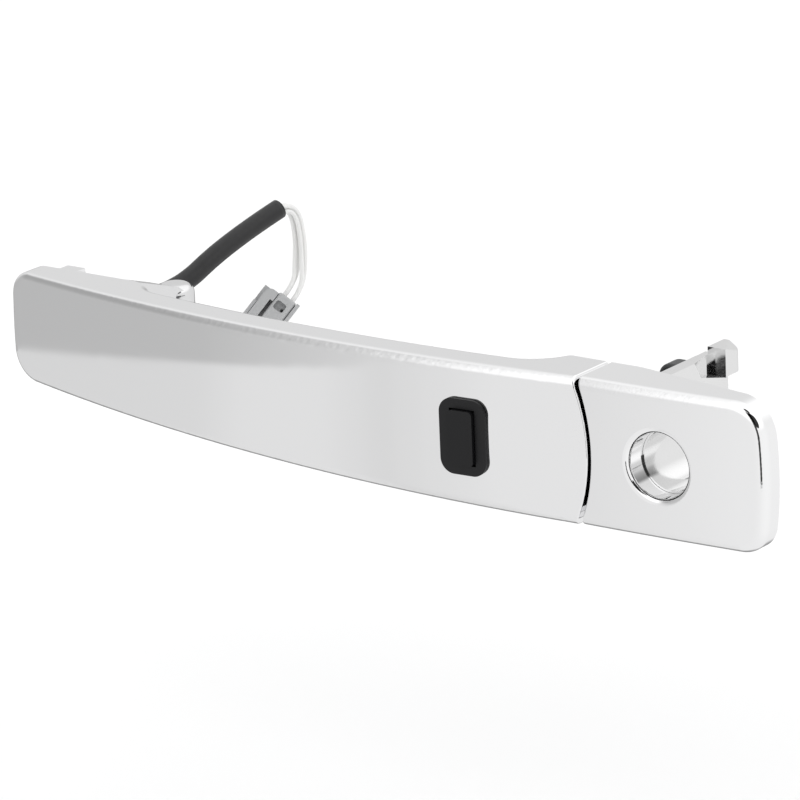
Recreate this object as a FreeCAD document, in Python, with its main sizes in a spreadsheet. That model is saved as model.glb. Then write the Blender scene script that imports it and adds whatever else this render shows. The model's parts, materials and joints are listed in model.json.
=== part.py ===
"""Car door outer handle: a chrome pull grip with a request switch, and a fixed lock cap.

Frame, in millimetres: X runs along the handle towards the lock cap, Y runs into the door
with the door skin at Y = 0, and Z is up.  The origin is on the axis of the lock sleeve.
"""
import FreeCAD
import Part
import Sketcher
import math
import os

from FreeCAD import Placement, Rotation, Vector

doc = FreeCAD.newDocument("car_door_handle")

# --------------------------------------------------------------------------- driving sizes
SIZES = [
    # overall form
    ("top_height", 19.1, "top surface above the lock axis"),
    ("bottom_height", 19.1, "bottom edge below the lock axis at the seam"),
    ("nose_bottom", 10.4, "bottom edge below the lock axis at the nose"),
    ("bottom_bulge", 0.9, "sagitta of the grip's bottom edge"),
    ("nose_reach", 211.0, "lock axis to the nose of the grip"),
    ("cap_reach", 30.1, "lock axis to the free end of the cap"),
    ("seam_reach", 19.6, "lock axis to the middle of the seam"),
    ("seam_radius", 42.5, "radius of the curved seam, seen from outside"),
    ("seam_gap", 0.8, "gap between grip and cap"),
    ("wall", 2.2, "wall of the moulded shells"),
    ("edge_round", 3.0, "rounding between the faces and the sides"),
    ("seam_round", 0.5, "rounding of the two edges beside the seam"),
    # grip
    ("bow_reach", 93.4, "lock axis to the most proud point of the grip"),
    ("bow_radius", 560.0, "plan radius of the grip's upper front edge"),
    ("bow_proud", 17.3, "upper front edge proud of the door skin at the bow"),
    ("face_crown", 0.8, "height of the face's vertical crown"),
    ("grip_depth", 13.6, "face to back, at the bow"),
    ("back_round", 4.3, "rounding of the grip's rear edges"),
    ("nose_round", 6.0, "upper corner of the nose"),
    ("chin_round", 9.0, "lower corner of the nose"),
    ("foot_round", 12.0, "concave rounding where the feet meet the back"),
    ("front_foot", 38.0, "length of the front foot"),
    ("rear_foot", 18.0, "length of the rear foot, from the middle of the seam"),
    # lock cap
    ("cap_radius", 900.0, "plan radius of the cap's upper front edge"),
    ("cap_bow_reach", 31.4, "lock axis to the most proud point of that radius"),
    ("cap_proud", 12.45, "cap's upper front edge proud of the door skin"),
    ("cap_round", 10.0, "upper corner of the free end"),
    ("cap_chin", 7.5, "lower corner of the free end"),
    ("end_bulge", 2.0, "sagitta of the free end"),
    ("rim_start", 14.5, "lock axis to where the cap's rim leaves the door plane"),
    ("rim_slope", 9.8, "angle of the rim past that place, in degrees"),
    ("key_hole", 8.4, "radius of the hole in the face"),
    ("key_rim", 1.5, "rounding of the hole's rim"),
    ("collar_depth", 6.3, "collar behind the hole"),
    ("sleeve_bore", 7.9, "radius of the lock sleeve's bore"),
    ("sleeve_wall", 1.6, "wall of the lock sleeve"),
    ("sleeve_reach", 14.0, "sleeve into the door"),
    ("cap_arm_reach", 29.4, "cap arm into the door, up to its head"),
    ("cap_arm_width", 3.5, "top of the cap arm, along the handle"),
    ("cap_arm_foot", 6.5, "foot of the cap arm, along the handle"),
    ("head_depth", 7.5, "head of the cap arm, into the door"),
    ("head_width", 5.3, "head, along the handle"),
    ("head_tall", 7.2, "height of the head"),
    # switch
    ("switch_reach", 54.5, "lock axis to the switch"),
    ("bezel_width", 13.3, "bezel along the handle"),
    ("bezel_tall", 19.7, "bezel height"),
    ("bezel_proud", 0.8, "bezel proud of the face"),
    ("button_width", 6.9, "button along the handle"),
    ("button_tall", 14.2, "button height"),
    ("button_proud", 1.9, "button proud of the face"),
    ("button_gap", 0.2, "gap round the button"),
    ("button_travel", 0.8, "button travel"),
    # arms and harness
    ("pivot_inset", 29.0, "nose to the front pivot axis"),
    ("pivot_depth", 25.5, "door skin to the front pivot axis"),
    ("pivot_bore", 2.4, "radius of the front pivot bore"),
    ("pull_reach", 44.0, "pull arm into the door"),
    ("pull_width", 8.0, "pull arm along the handle"),
    ("hook_width", 8.8, "rounded end of the pull arm, along the handle"),
    ("hook_depth", 6.0, "rounded end of the pull arm, into the door"),
    ("sheath_radius", 2.75, "outer radius of the harness sheath"),
    ("wire_radius", 0.65, "radius of one wire"),
    ("connector_long", 12.0, "length of the connector"),
    ("connector_wide", 5.6, "width of the connector"),
    ("connector_tall", 6.0, "height of the connector"),
]

sheet = doc.addObject("Spreadsheet::Sheet", "Sizes")
for row, (alias, value, note) in enumerate(SIZES, start=1):
    sheet.set("A%d" % row, alias)
    sheet.set("B%d" % row, str(value))
    sheet.setAlias("B%d" % row, alias)
    sheet.set("C%d" % row, note)
doc.recompute()


def size(alias):
    """Value of one driving size."""
    return float(sheet.get(alias))


# ------------------------------------------------------------------------- derived places
NOSE_X = -size("nose_reach")
SEAM_X = -size("seam_reach")
SEAM_CENTRE_X = SEAM_X - size("seam_radius")
BOW_X = -size("bow_reach")
BOW_Y = size("bow_radius") - size("bow_proud")
FACE_RADIUS = size("bow_radius") + size("edge_round") + size("face_crown")
BACK_RADIUS = FACE_RADIUS - size("grip_depth")
CAP_BOW_X = -size("cap_bow_reach")
CAP_BOW_Y = size("cap_radius") - size("cap_proud")
CAP_FACE_RADIUS = size("cap_radius") + size("edge_round") + size("face_crown")
REAR_FOOT_X = SEAM_X - size("rear_foot")
FRONT_FOOT_X = NOSE_X + size("front_foot")
SWITCH_X = -size("switch_reach")
SWITCH_Z = 0.5
SWITCH_TILT = math.degrees(math.asin((SWITCH_X - BOW_X) / FACE_RADIUS))
SWITCH_Y = BOW_Y - FACE_RADIUS * math.cos(math.radians(SWITCH_TILT))
PIVOT_X = NOSE_X + size("pivot_inset")
PIVOT_Y = size("pivot_depth")
FAR = 80.0          # well past every face of the handle
FIT = 0.05          # clearance of pieces that are fitted together
SKIN_EXTRA = 0.2    # extra thickness behind the crowned faces

parts = []


# ------------------------------------------------------------------------------- helpers
def keep(obj, label):
    """Name a finished sub-part and put it on the list that is written out."""
    obj.Label = label
    parts.append(obj)
    return obj


def solid_part(label, shape, place=None):
    """A sub-part whose free form is made with Part's own functions."""
    obj = doc.addObject("Part::Feature", label)
    obj.Shape = shape
    if place is not None:
        obj.Placement = place
    return keep(obj, label)


def box_shape(x0, x1, y0, y1, z0, z1):
    """Box between two corners."""
    return Part.makeBox(x1 - x0, y1 - y0, z1 - z0, Vector(x0, y0, z0))


def rod_shape(radius, length, base, axis):
    """Cylinder from its base along an axis."""
    return Part.makeCylinder(radius, length, base, axis)


def arc_edge(first, middle, last):
    """Arc through three points."""
    return Part.Arc(first, middle, last).toShape()


def line_edge(first, last):
    """Straight edge."""
    return Part.LineSegment(first, last).toShape()


def prism(edges, travel):
    """Closed outline swept in a straight line."""
    return Part.Face(Part.Wire(Part.__sortEdges__(edges))).extrude(travel)


def yz_prism(points, x0, x1):
    """Prism along X from an outline of Y and Z."""
    corners = [Vector(x0, y, z) for y, z in points]
    return Part.Face(Part.makePolygon(corners + corners[:1])).extrude(Vector(x1 - x0, 0, 0))


def upright_edges(shape, direction, x, other, tolerance=0.8):
    """Straight edges along a direction that pass a given place of the cross-section."""
    found = []
    for edge in shape.Edges:
        if not isinstance(edge.Curve, Part.Line):
            continue
        along = edge.Curve.Direction
        if abs(abs(along.dot(direction)) - 1) > 1e-4:
            continue
        point = edge.Vertexes[0].Point
        second = point.z if direction.y else point.y
        if abs(point.x - x) < tolerance and abs(second - other) < tolerance:
            found.append(edge)
    return found


def crowned_solid(centre_x, centre_y, radius, crown):
    """Solid of revolution whose outer face is a large arc in plan with a slight crown."""
    half = FAR / 2
    base = centre_y - radius
    drop = crown * (half / (size("top_height") * 0.95)) ** 2
    inner = base + FAR
    low = Vector(centre_x, base + drop, -half)
    high = Vector(centre_x, base + drop, half)
    outer = arc_edge(low, Vector(centre_x, base, 0), high) if crown else line_edge(low, high)
    edges = [
        outer,
        line_edge(high, Vector(centre_x, inner, half)),
        line_edge(Vector(centre_x, inner, half), Vector(centre_x, inner, -half)),
        line_edge(Vector(centre_x, inner, -half), low),
    ]
    face = Part.Face(Part.Wire(Part.__sortEdges__(edges)))
    sweep = 40.0
    axis_point = Vector(centre_x, centre_y, 0)
    face.rotate(axis_point, Vector(0, 0, 1), -sweep / 2)
    return face.revolve(axis_point, Vector(0, 0, 1), sweep)


def rounded(shape, radius, edges):
    """Fillet that is tried again when the kernel returns a broken solid."""
    for _ in range(12):
        result = shape.makeFillet(radius, edges)
        if result.isValid() and abs(result.Volume - shape.Volume) < 0.05 * shape.Volume:
            return result
    raise RuntimeError("no valid rounding of %.2f mm" % radius)


def clean(shape):
    """Single solid out of a boolean result."""
    shape = shape.removeSplitter()
    if len(shape.Solids) == 1:
        return shape.Solids[0]
    return shape


def along_y(edge):
    """Straight edge that runs along local Y."""
    box = edge.BoundBox
    return box.YLength > 0.1 and box.XLength < 1e-3 and box.ZLength < 1e-3


# ------------------------------------------------------------------------- grip outer form
def seam_face_x(radius, z):
    """Place of a seam edge at a height."""
    return SEAM_CENTRE_X + math.sqrt(radius ** 2 - z ** 2)


def grip_prism(inset):
    """Front outline of the grip as a prism from in front of the face to the door skin."""
    top = size("top_height") - inset
    left = NOSE_X + inset
    seam = size("seam_radius") - size("seam_gap") / 2 - inset
    bottom_left = -size("nose_bottom") + inset
    bottom_right = -size("bottom_height") + inset
    upper = Vector(seam_face_x(seam, top), -FAR, top)
    lower = Vector(seam_face_x(seam, bottom_right), -FAR, bottom_right)
    chin = Vector(left, -FAR, bottom_left)
    middle = (chin + lower) * 0.5 - Vector(0, 0, size("bottom_bulge"))
    edges = [
        line_edge(upper, Vector(left, -FAR, top)),
        line_edge(Vector(left, -FAR, top), chin),
        arc_edge(chin, middle, lower),
        arc_edge(lower, Vector(SEAM_CENTRE_X + seam, -FAR, 0), upper),
    ]
    body = prism(edges, Vector(0, FAR, 0))
    along = Vector(0, 1, 0)
    body = body.makeFillet(size("nose_round") - inset, upright_edges(body, along, left, top))
    chin_edges = upright_edges(body, along, left, bottom_left)
    return body.makeFillet(size("chin_round") - inset, chin_edges)


def finger_scoop():
    """Hollow behind the grip, between its feet."""
    depth = FAR / 4

    def back_y(x):
        return BOW_Y - math.sqrt(BACK_RADIUS ** 2 - (x - BOW_X) ** 2)

    front = Vector(FRONT_FOOT_X, back_y(FRONT_FOOT_X), -FAR / 2)
    rear = Vector(REAR_FOOT_X, back_y(REAR_FOOT_X), -FAR / 2)
    bow = Vector(BOW_X, BOW_Y - BACK_RADIUS, -FAR / 2)
    edges = [
        line_edge(front + Vector(0, depth, 0), front),
        arc_edge(front, bow, rear),
        line_edge(rear, rear + Vector(0, depth, 0)),
        line_edge(rear + Vector(0, depth, 0), front + Vector(0, depth, 0)),
    ]
    hollow = prism(edges, Vector(0, 0, FAR))
    up = Vector(0, 0, 1)
    corners = upright_edges(hollow, up, front.x, front.y) + upright_edges(hollow, up, rear.x, rear.y)
    return hollow.makeFillet(size("foot_round"), corners)


def edges_near(shape, test):
    """Edges whose every sampled point passes a test."""
    found = []
    for edge in shape.Edges:
        if all(test(point) for point in edge.discretize(5)):
            found.append(edge)
    return found


def grip_form():
    """Whole outside of the grip as one solid."""
    face = crowned_solid(BOW_X, BOW_Y, FACE_RADIUS, size("face_crown"))
    form = clean(grip_prism(0).common(face).cut(finger_scoop()))

    def on_face(point):
        reach = math.hypot(point.x - BOW_X, point.y - BOW_Y)
        return abs(reach - FACE_RADIUS) < size("face_crown") + 1.0 and point.y < -2.0

    def at_seam(point):
        reach = math.hypot(point.x - SEAM_CENTRE_X, point.z)
        return abs(reach - (size("seam_radius") - size("seam_gap") / 2)) < 0.05

    sides = [edge for edge in edges_near(form, on_face) if not at_seam(edge.CenterOfMass)
             and not all(at_seam(vertex.Point) for vertex in edge.Vertexes)]
    form = rounded(form, size("edge_round"), sides)

    def behind(point):
        reach = math.hypot(point.x - BOW_X, point.y - BOW_Y)
        inside = FRONT_FOOT_X + 1.0 < point.x < REAR_FOOT_X - 0.5
        return inside and reach < BACK_RADIUS + 0.3 and point.y < -0.2

    for side in (1, -1):
        rear = [edge for edge in edges_near(form, behind) if edge.CenterOfMass.z * side > 5.0]
        form = rounded(form, size("back_round"), rear)
    seam = [edge for edge in edges_near(form, at_seam) if edge.BoundBox.YMax < -4.0]
    return rounded(form, size("seam_round"), seam)



def ring_sector(outer, inner, x0, x1, z0, z1):
    """Part of a thick cylinder about the grip's plan centre, between two X and two Z."""
    centre = Vector(BOW_X, BOW_Y, z0)
    ring = Part.makeCylinder(outer, z1 - z0, centre).cut(Part.makeCylinder(inner, z1 - z0, centre))
    front = BOW_Y - FACE_RADIUS - 10
    return ring.common(box_shape(x0, x1, front, 10, z0, z1))


def back_y(x, inset=0.0):
    """Y of the grip's back surface, or of a surface parallel to it."""
    radius = BACK_RADIUS + inset
    return BOW_Y - math.sqrt(radius ** 2 - (x - BOW_X) ** 2)


def face_y(x, inset=0.0):
    """Y of the grip's face at mid height, or of a surface parallel to it."""
    radius = FACE_RADIUS - inset
    return BOW_Y - math.sqrt(radius ** 2 - (x - BOW_X) ** 2)


def tilted(x, y, z, angle):
    """Placement turned about the vertical."""
    return Placement(Vector(x, y, z), Rotation(Vector(0, 0, 1), angle))


SWITCH_PLACE = tilted(SWITCH_X, SWITCH_Y, SWITCH_Z, SWITCH_TILT)
SKIRT_INSET = 1.2   # switch skirt inside the bezel's outline

# back cover window, between the feet
COVER_X0 = FRONT_FOOT_X + 15.0
COVER_X1 = REAR_FOOT_X - 22.0
COVER_Z0 = -8.0
COVER_Z1 = 11.0
COVER_SCREWS = [(COVER_X0 + 7.0, 1.5), (COVER_X1 - 7.0, 1.5)]

# front arm: neck through the foot's rear wall, flange inside, closed eye over the pivot pin
EYE_RADIUS = 5.2
EYE_TOP = 11.2
EYE_BOTTOM = 1.2
EYE_ROUND = 2.8
BUSH_WALL = 1.2
BUSH_LENGTH = 7.2
BUSH_TOP = EYE_BOTTOM + BUSH_LENGTH
NECK_X0 = PIVOT_X - 12.5
NECK_X1 = PIVOT_X - 1.5
FLANGE_Z0 = -7.0
FLANGE_Z1 = size("top_height") - 4.1
NECK_TOP = size("top_height") - 3.6     # top of the tongue where it passes the foot's rear wall
ARM_SCREWS = [(PIVOT_X + 3.2, FLANGE_Z1 - 5.0), (PIVOT_X + 3.2, -3.0)]
ARM_SCREW_BORE = 1.0
GROMMET_X = NOSE_X + 9.5
GROMMET_Z = 6.0
GROMMET_HOLE = 4.2

# pull arm: base plate let into the rear foot
PULL_X0 = REAR_FOOT_X + 0.2
PULL_X1 = PULL_X0 + size("pull_width")
PULL_Z0 = -8.0
PULL_Z1 = 4.0
HOOK_X0 = PULL_X0 + 2.1
HOOK_Z1 = 7.1
HOOK_ROUND = 3.6
PLATE_X1 = SEAM_X - 6.0
PLATE_Z = 13.0
PLATE_DEEP = 4.0
PULL_SCREWS = [(PLATE_X1 - 2.6, 9.8), (PLATE_X1 - 2.6, -10.5)]

SCREW_HEAD = 2.0
SCREW_HEAD_TALL = 1.2
SCREW_SHANK = 1.0


def screw_shape(x, z, y_head, length, tall=SCREW_HEAD_TALL):
    """Pan-head screw driven from the rear: its head bears at y_head, its shank points out."""
    head = rod_shape(SCREW_HEAD, tall, Vector(x, y_head, z), Vector(0, 1, 0))
    shank = rod_shape(SCREW_SHANK, length, Vector(x, y_head - length, z), Vector(0, 1, 0))
    arms = Part.makeBox(2.4, 0.7, 0.6, Vector(x - 1.2, y_head + tall - 0.7, z - 0.3))
    cross = Part.makeBox(0.6, 0.7, 2.4, Vector(x - 0.3, y_head + tall - 0.7, z - 1.2))
    return head.fuse(shank).cut(arms.fuse(cross))


def grip_cavity():
    """Hollow of the grip shell, which runs into both feet."""
    wall = size("wall")
    centre = Vector(BOW_X, BOW_Y, -FAR / 2)
    skin = Part.makeCylinder(FACE_RADIUS - wall - SKIN_EXTRA, FAR, centre)
    lid = box_shape(NOSE_X, 0, -FAR / 2, SKIN_EXTRA - wall, -FAR / 2, FAR / 2)
    back = Part.makeCylinder(BACK_RADIUS + wall, FAR, centre)
    between = box_shape(FRONT_FOOT_X - wall, 0, -FAR / 2, FAR / 2, -FAR / 2, FAR / 2)
    return grip_prism(wall).common(skin).common(lid).cut(back.common(between))


def make_grip_shell():
    shell = grip_form().cut(grip_cavity())
    window = ring_sector(BACK_RADIUS + size("wall") + 1.0, BACK_RADIUS - 1.0,
                         COVER_X0, COVER_X1, COVER_Z0, COVER_Z1)
    shell = shell.cut(window)
    for x, z in COVER_SCREWS:
        y0 = face_y(x, 1.0)
        y1 = back_y(x, size("wall") - 0.1) - 0.1
        post = rod_shape(2.6, y1 - y0, Vector(x, y0, z), Vector(0, 1, 0))
        core = rod_shape(SCREW_SHANK, y1 - y0 - 2.0, Vector(x, y0 + 2.0, z), Vector(0, 1, 0))
        shell = shell.fuse(post).cut(core)
    neck = box_shape(NECK_X0, NECK_X1, -6, 1, -3.1, NECK_TOP + 0.1)
    shell = shell.cut(neck)
    grommet = rod_shape(GROMMET_HOLE, 6, Vector(GROMMET_X, -5, GROMMET_Z), Vector(0, 1, 0))
    shell = shell.cut(grommet)
    for x, z in ARM_SCREWS:
        shell = shell.cut(rod_shape(ARM_SCREW_BORE, 6, Vector(x, -5, z), Vector(0, 1, 0)))
    shell = shell.cut(box_shape(PULL_X0 - 0.3, PLATE_X1 + 0.3, -PLATE_DEEP, 1, -PLATE_Z - 0.3, PLATE_Z + 0.3))
    for x, z in PULL_SCREWS:
        shell = shell.cut(rod_shape(SCREW_SHANK, 2.0, Vector(x, -PLATE_DEEP - 2.0, z), Vector(0, 1, 0)))
    half_x = size("bezel_width") / 2 - SKIRT_INSET + 0.05
    half_z = size("bezel_tall") / 2 - SKIRT_INSET + 0.05
    opening = box_shape(-half_x, half_x, -3, 4, -half_z, half_z)
    opening.Placement = SWITCH_PLACE
    shell = shell.cut(opening)
    lug = box_shape(NOSE_X + 10.8, NOSE_X + 16.8, -3.0, 3.4, 14.0, size("top_height"))
    lug = lug.makeFillet(1.2, upright_edges(lug, Vector(1, 0, 0), NOSE_X + 10.8, 3.4, 99)[:1])
    return clean(shell.fuse(lug))


def cover_plate():
    """Rear cover, flush in the window."""
    wall = size("wall")
    gap = FIT
    plate = ring_sector(BACK_RADIUS + wall, BACK_RADIUS,
                        COVER_X0 + gap, COVER_X1 - gap, COVER_Z0 + gap, COVER_Z1 - gap)
    for x, z in COVER_SCREWS:
        y = back_y(x)
        plate = plate.cut(rod_shape(SCREW_SHANK, 6, Vector(x, y - 4, z), Vector(0, 1, 0)))
        plate = plate.cut(rod_shape(SCREW_HEAD + FIT, 3, Vector(x, y - 1.0, z), Vector(0, 1, 0)))
    return clean(plate)


def front_arm_shape():
    """Tongue from the front foot to the closed pivot eye, with a flange inside the foot."""
    lower = Vector(NECK_X0 + 0.1, -2.0, -FAR / 2)
    lower_right = Vector(NECK_X1 - 0.1, -2.0, -FAR / 2)
    tip = Vector(PIVOT_X, PIVOT_Y, -FAR / 2)
    left_tip = tip - Vector(EYE_RADIUS, 0, 0)
    right_tip = tip + Vector(EYE_RADIUS, 0, 0)
    waist = (lower_right + right_tip) * 0.5 - Vector(1.6, 0, 0)
    plan = prism([
        line_edge(lower, lower_right),
        arc_edge(lower_right, waist, right_tip),
        line_edge(right_tip, left_tip),
        line_edge(left_tip, lower),
    ], Vector(0, 0, FAR))
    side = [
        (-2.0, -3.0), (-2.0, NECK_TOP), (1.0, NECK_TOP + 0.9), (10.0, NECK_TOP - 0.3), (PIVOT_Y - 3.0, EYE_TOP),
        (PIVOT_Y, EYE_TOP - EYE_ROUND), (PIVOT_Y, EYE_BOTTOM), (PIVOT_Y - 4.0, EYE_BOTTOM), (2.0, -3.0),
    ]
    tongue = plan.common(yz_prism(side, NOSE_X, NOSE_X + FAR))
    eye = rod_shape(EYE_RADIUS, EYE_TOP - EYE_BOTTOM, Vector(PIVOT_X, PIVOT_Y, EYE_BOTTOM), Vector(0, 0, 1))
    eye = eye.makeFillet(EYE_ROUND, [edge for edge in eye.Edges if edge.BoundBox.ZMin > EYE_TOP - 0.01])
    arm = clean(tongue.fuse(eye))
    arm = arm.cut(box_shape(NECK_X0, NECK_X1, -2.0, 0.0, NECK_TOP, FAR / 2))
    arm = arm.fuse(box_shape(NECK_X0 - 2.0, PIVOT_X + 6.0, -4.4, -2.0, FLANGE_Z0, FLANGE_Z1))
    seat = rod_shape(size("pivot_bore") + BUSH_WALL, BUSH_TOP + FAR / 2,
                     Vector(PIVOT_X, PIVOT_Y, -FAR / 2), Vector(0, 0, 1))
    arm = arm.cut(seat)
    for x, z in ARM_SCREWS:
        arm = arm.cut(rod_shape(SCREW_SHANK, 6, Vector(x, -5, z), Vector(0, 1, 0)))
    return clean(arm)


def pull_arm_shape():
    """Base plate in the rear foot and a flat arm whose rounded end takes the lock's lever."""
    reach = size("pull_reach")
    plate = box_shape(PULL_X0 - 0.2, PLATE_X1 + 0.2, -PLATE_DEEP, -0.05, -PLATE_Z - 0.2, PLATE_Z + 0.2)
    hook_y0 = reach - size("hook_depth")
    arm = box_shape(PULL_X0, PULL_X1, -PLATE_DEEP, hook_y0 + 1.0, PULL_Z0, PULL_Z1)
    hook = box_shape(HOOK_X0, HOOK_X0 + size("hook_width"), hook_y0, reach, PULL_Z0, HOOK_Z1)
    crown = [edge for edge in hook.Edges if edge.BoundBox.ZMin > HOOK_Z1 - 0.01 and along_y(edge)]
    hook = hook.makeFillet(HOOK_ROUND, crown)
    rims = [edge for edge in hook.Edges if edge.BoundBox.YLength < 0.01 and edge.BoundBox.ZMax > HOOK_Z1 - 3.0]
    hook = hook.makeFillet(0.9, rims)
    window = box_shape(HOOK_X0 - 5, PULL_X1 + 9, hook_y0 - 5.5, hook_y0 - 1.0, -4.0, 1.0)
    shape = plate.fuse(arm).fuse(hook).cut(window)
    for x0, x1 in ((PULL_X0 - 1, PULL_X0 + 2.0), (PULL_X1 - 2.0, PULL_X1 + 1)):
        shape = shape.cut(box_shape(x0, x1, 5.0, hook_y0 - 9.0, -5.5, 1.5))
    for x, z in PULL_SCREWS:
        shape = shape.cut(rod_shape(SCREW_SHANK, 8, Vector(x, -6, z), Vector(0, 1, 0)))
        shape = shape.cut(rod_shape(SCREW_HEAD + FIT, 4, Vector(x, -1.4, z), Vector(0, 1, 0)))
    return clean(shape)


# --------------------------------------------------------------------------- lock cap form
def cap_prism(inset):
    """Front outline of the cap as a prism from in front of the face to the door skin."""
    top = size("top_height") - inset
    bottom = -size("bottom_height") + inset
    seam = size("seam_radius") + size("seam_gap") / 2 + inset
    bulge = size("end_bulge")
    end_radius = (size("top_height") ** 2 + bulge ** 2) / (2 * bulge)
    reach = size("cap_reach") - inset
    end_centre_x = size("cap_reach") - end_radius

    def end_x(z):
        return end_centre_x + math.sqrt((end_radius - inset) ** 2 - z ** 2)

    upper = Vector(seam_face_x(seam, top), -FAR, top)
    lower = Vector(seam_face_x(seam, bottom), -FAR, bottom)
    upper_end = Vector(end_x(top), -FAR, top)
    lower_end = Vector(end_x(bottom), -FAR, bottom)
    body = prism([
        line_edge(upper, upper_end),
        arc_edge(upper_end, Vector(reach, -FAR, 0), lower_end),
        line_edge(lower_end, lower),
        arc_edge(lower, Vector(SEAM_CENTRE_X + seam, -FAR, 0), upper),
    ], Vector(0, FAR, 0))
    along = Vector(0, 1, 0)
    body = body.makeFillet(size("cap_round") - inset, upright_edges(body, along, upper_end.x, top))
    return body.makeFillet(size("cap_chin") - inset, upright_edges(body, along, lower_end.x, bottom))


def rim_y(x):
    """Y of the cap's rear rim, which follows the door skin's curve away from the seam."""
    return -max(0.0, x + size("rim_start")) * math.tan(math.radians(size("rim_slope")))


def rim_slab(front, rear):
    """Layer parallel to the cap's rear rim, between two distances behind it."""
    bend = -size("rim_start")
    outline = [(-FAR, 0.0), (bend, 0.0), (FAR, rim_y(FAR))]
    near = [Vector(x, y + front, -FAR / 2) for x, y in outline]
    far = [Vector(x, y + rear, -FAR / 2) for x, y in reversed(outline)]
    return Part.Face(Part.makePolygon(near + far + near[:1])).extrude(Vector(0, 0, FAR))


def cap_form():
    """Whole outside of the cap as one solid."""
    face = crowned_solid(CAP_BOW_X, CAP_BOW_Y, CAP_FACE_RADIUS, size("face_crown"))
    form = clean(cap_prism(0).common(face).cut(rim_slab(0, FAR)))

    def on_face(point):
        reach = math.hypot(point.x - CAP_BOW_X, point.y - CAP_BOW_Y)
        return abs(reach - CAP_FACE_RADIUS) < size("face_crown") + 1.0 and point.y < -2.0

    def at_seam(point):
        reach = math.hypot(point.x - SEAM_CENTRE_X, point.z)
        return abs(reach - (size("seam_radius") + size("seam_gap") / 2)) < 0.05

    sides = [edge for edge in edges_near(form, on_face) if not at_seam(edge.CenterOfMass)
             and not all(at_seam(vertex.Point) for vertex in edge.Vertexes)]
    form = rounded(form, size("edge_round"), sides)
    seam = [edge for edge in edges_near(form, at_seam) if edge.BoundBox.YMax < -4.0]
    return rounded(form, size("seam_round"), seam)


def cap_face_y(x, inset=0.0):
    """Y of the cap's face at mid height, or of a surface parallel to it."""
    return CAP_BOW_Y - math.sqrt((CAP_FACE_RADIUS - inset) ** 2 - (x - CAP_BOW_X) ** 2)


CAP_FACE_Y = cap_face_y(0)
CAP_SCREWS = [(size("cap_reach") - 11.0, 9.5), (size("cap_reach") - 11.0, -9.5), (-13.0, -11.5)]
CAP_SCREW_LONG = 4.0
POST_RADIUS = 2.6
BASE_Y0 = -4.2      # front and rear of the base plate, from the rim
BASE_Y1 = -1.8
SEAT_DEPTH = 0.5    # spot face under a cap screw's head


def cap_screw_y(x):
    """Seat of a cap screw's head."""
    return rim_y(x) + BASE_Y1 - SEAT_DEPTH


def make_cap_shell():
    wall = size("wall")
    centre = Vector(CAP_BOW_X, CAP_BOW_Y, -FAR / 2)
    skin = Part.makeCylinder(CAP_FACE_RADIUS - wall - SKIN_EXTRA, FAR, centre)
    shell = cap_form().cut(cap_prism(wall).common(skin))
    along = Vector(0, 1, 0)
    collar = rod_shape(size("key_hole") + COLLAR_WALL, size("collar_depth") - 1.0,
                       Vector(0, CAP_FACE_Y + 1.0, 0), along)
    shell = shell.fuse(collar)
    for x, z in CAP_SCREWS:
        start = cap_face_y(x) + 1.4
        end = rim_y(x + POST_RADIUS) + BASE_Y0
        tip = cap_screw_y(x) - CAP_SCREW_LONG - 0.3
        shell = shell.fuse(rod_shape(POST_RADIUS, end - start, Vector(x, start, z), along))
        shell = shell.cut(rod_shape(SCREW_SHANK, end - tip + 1.0, Vector(x, tip, z), along))
    hole = rod_shape(size("key_hole"), FAR / 2, Vector(0, CAP_FACE_Y - 10, 0), along)
    shell = clean(shell.cut(hole))

    def at_rim(point):
        return abs(math.hypot(point.x, point.z) - size("key_hole")) < 0.02 and point.y < CAP_FACE_Y + 1.0

    return rounded(shell, size("key_rim"), edges_near(shell, at_rim))


COLLAR_WALL = 1.7
ARM_X0 = -15.4
ARM_Z0 = 4.6        # underside of the cap arm
ARM_STEP_Z = 9.4    # top of its foot, where the recess beside the head ends
ARM_Z1 = size("top_height") - 4.1
HEAD_X1 = -9.0
HEAD_Z1 = ARM_Z1 + 1.6
HEAD_SLOPE = 35.0   # the head's rear corner slopes down by this angle
RECESS_START = 19.8
RECESS_DEPTH = 1.5


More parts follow.
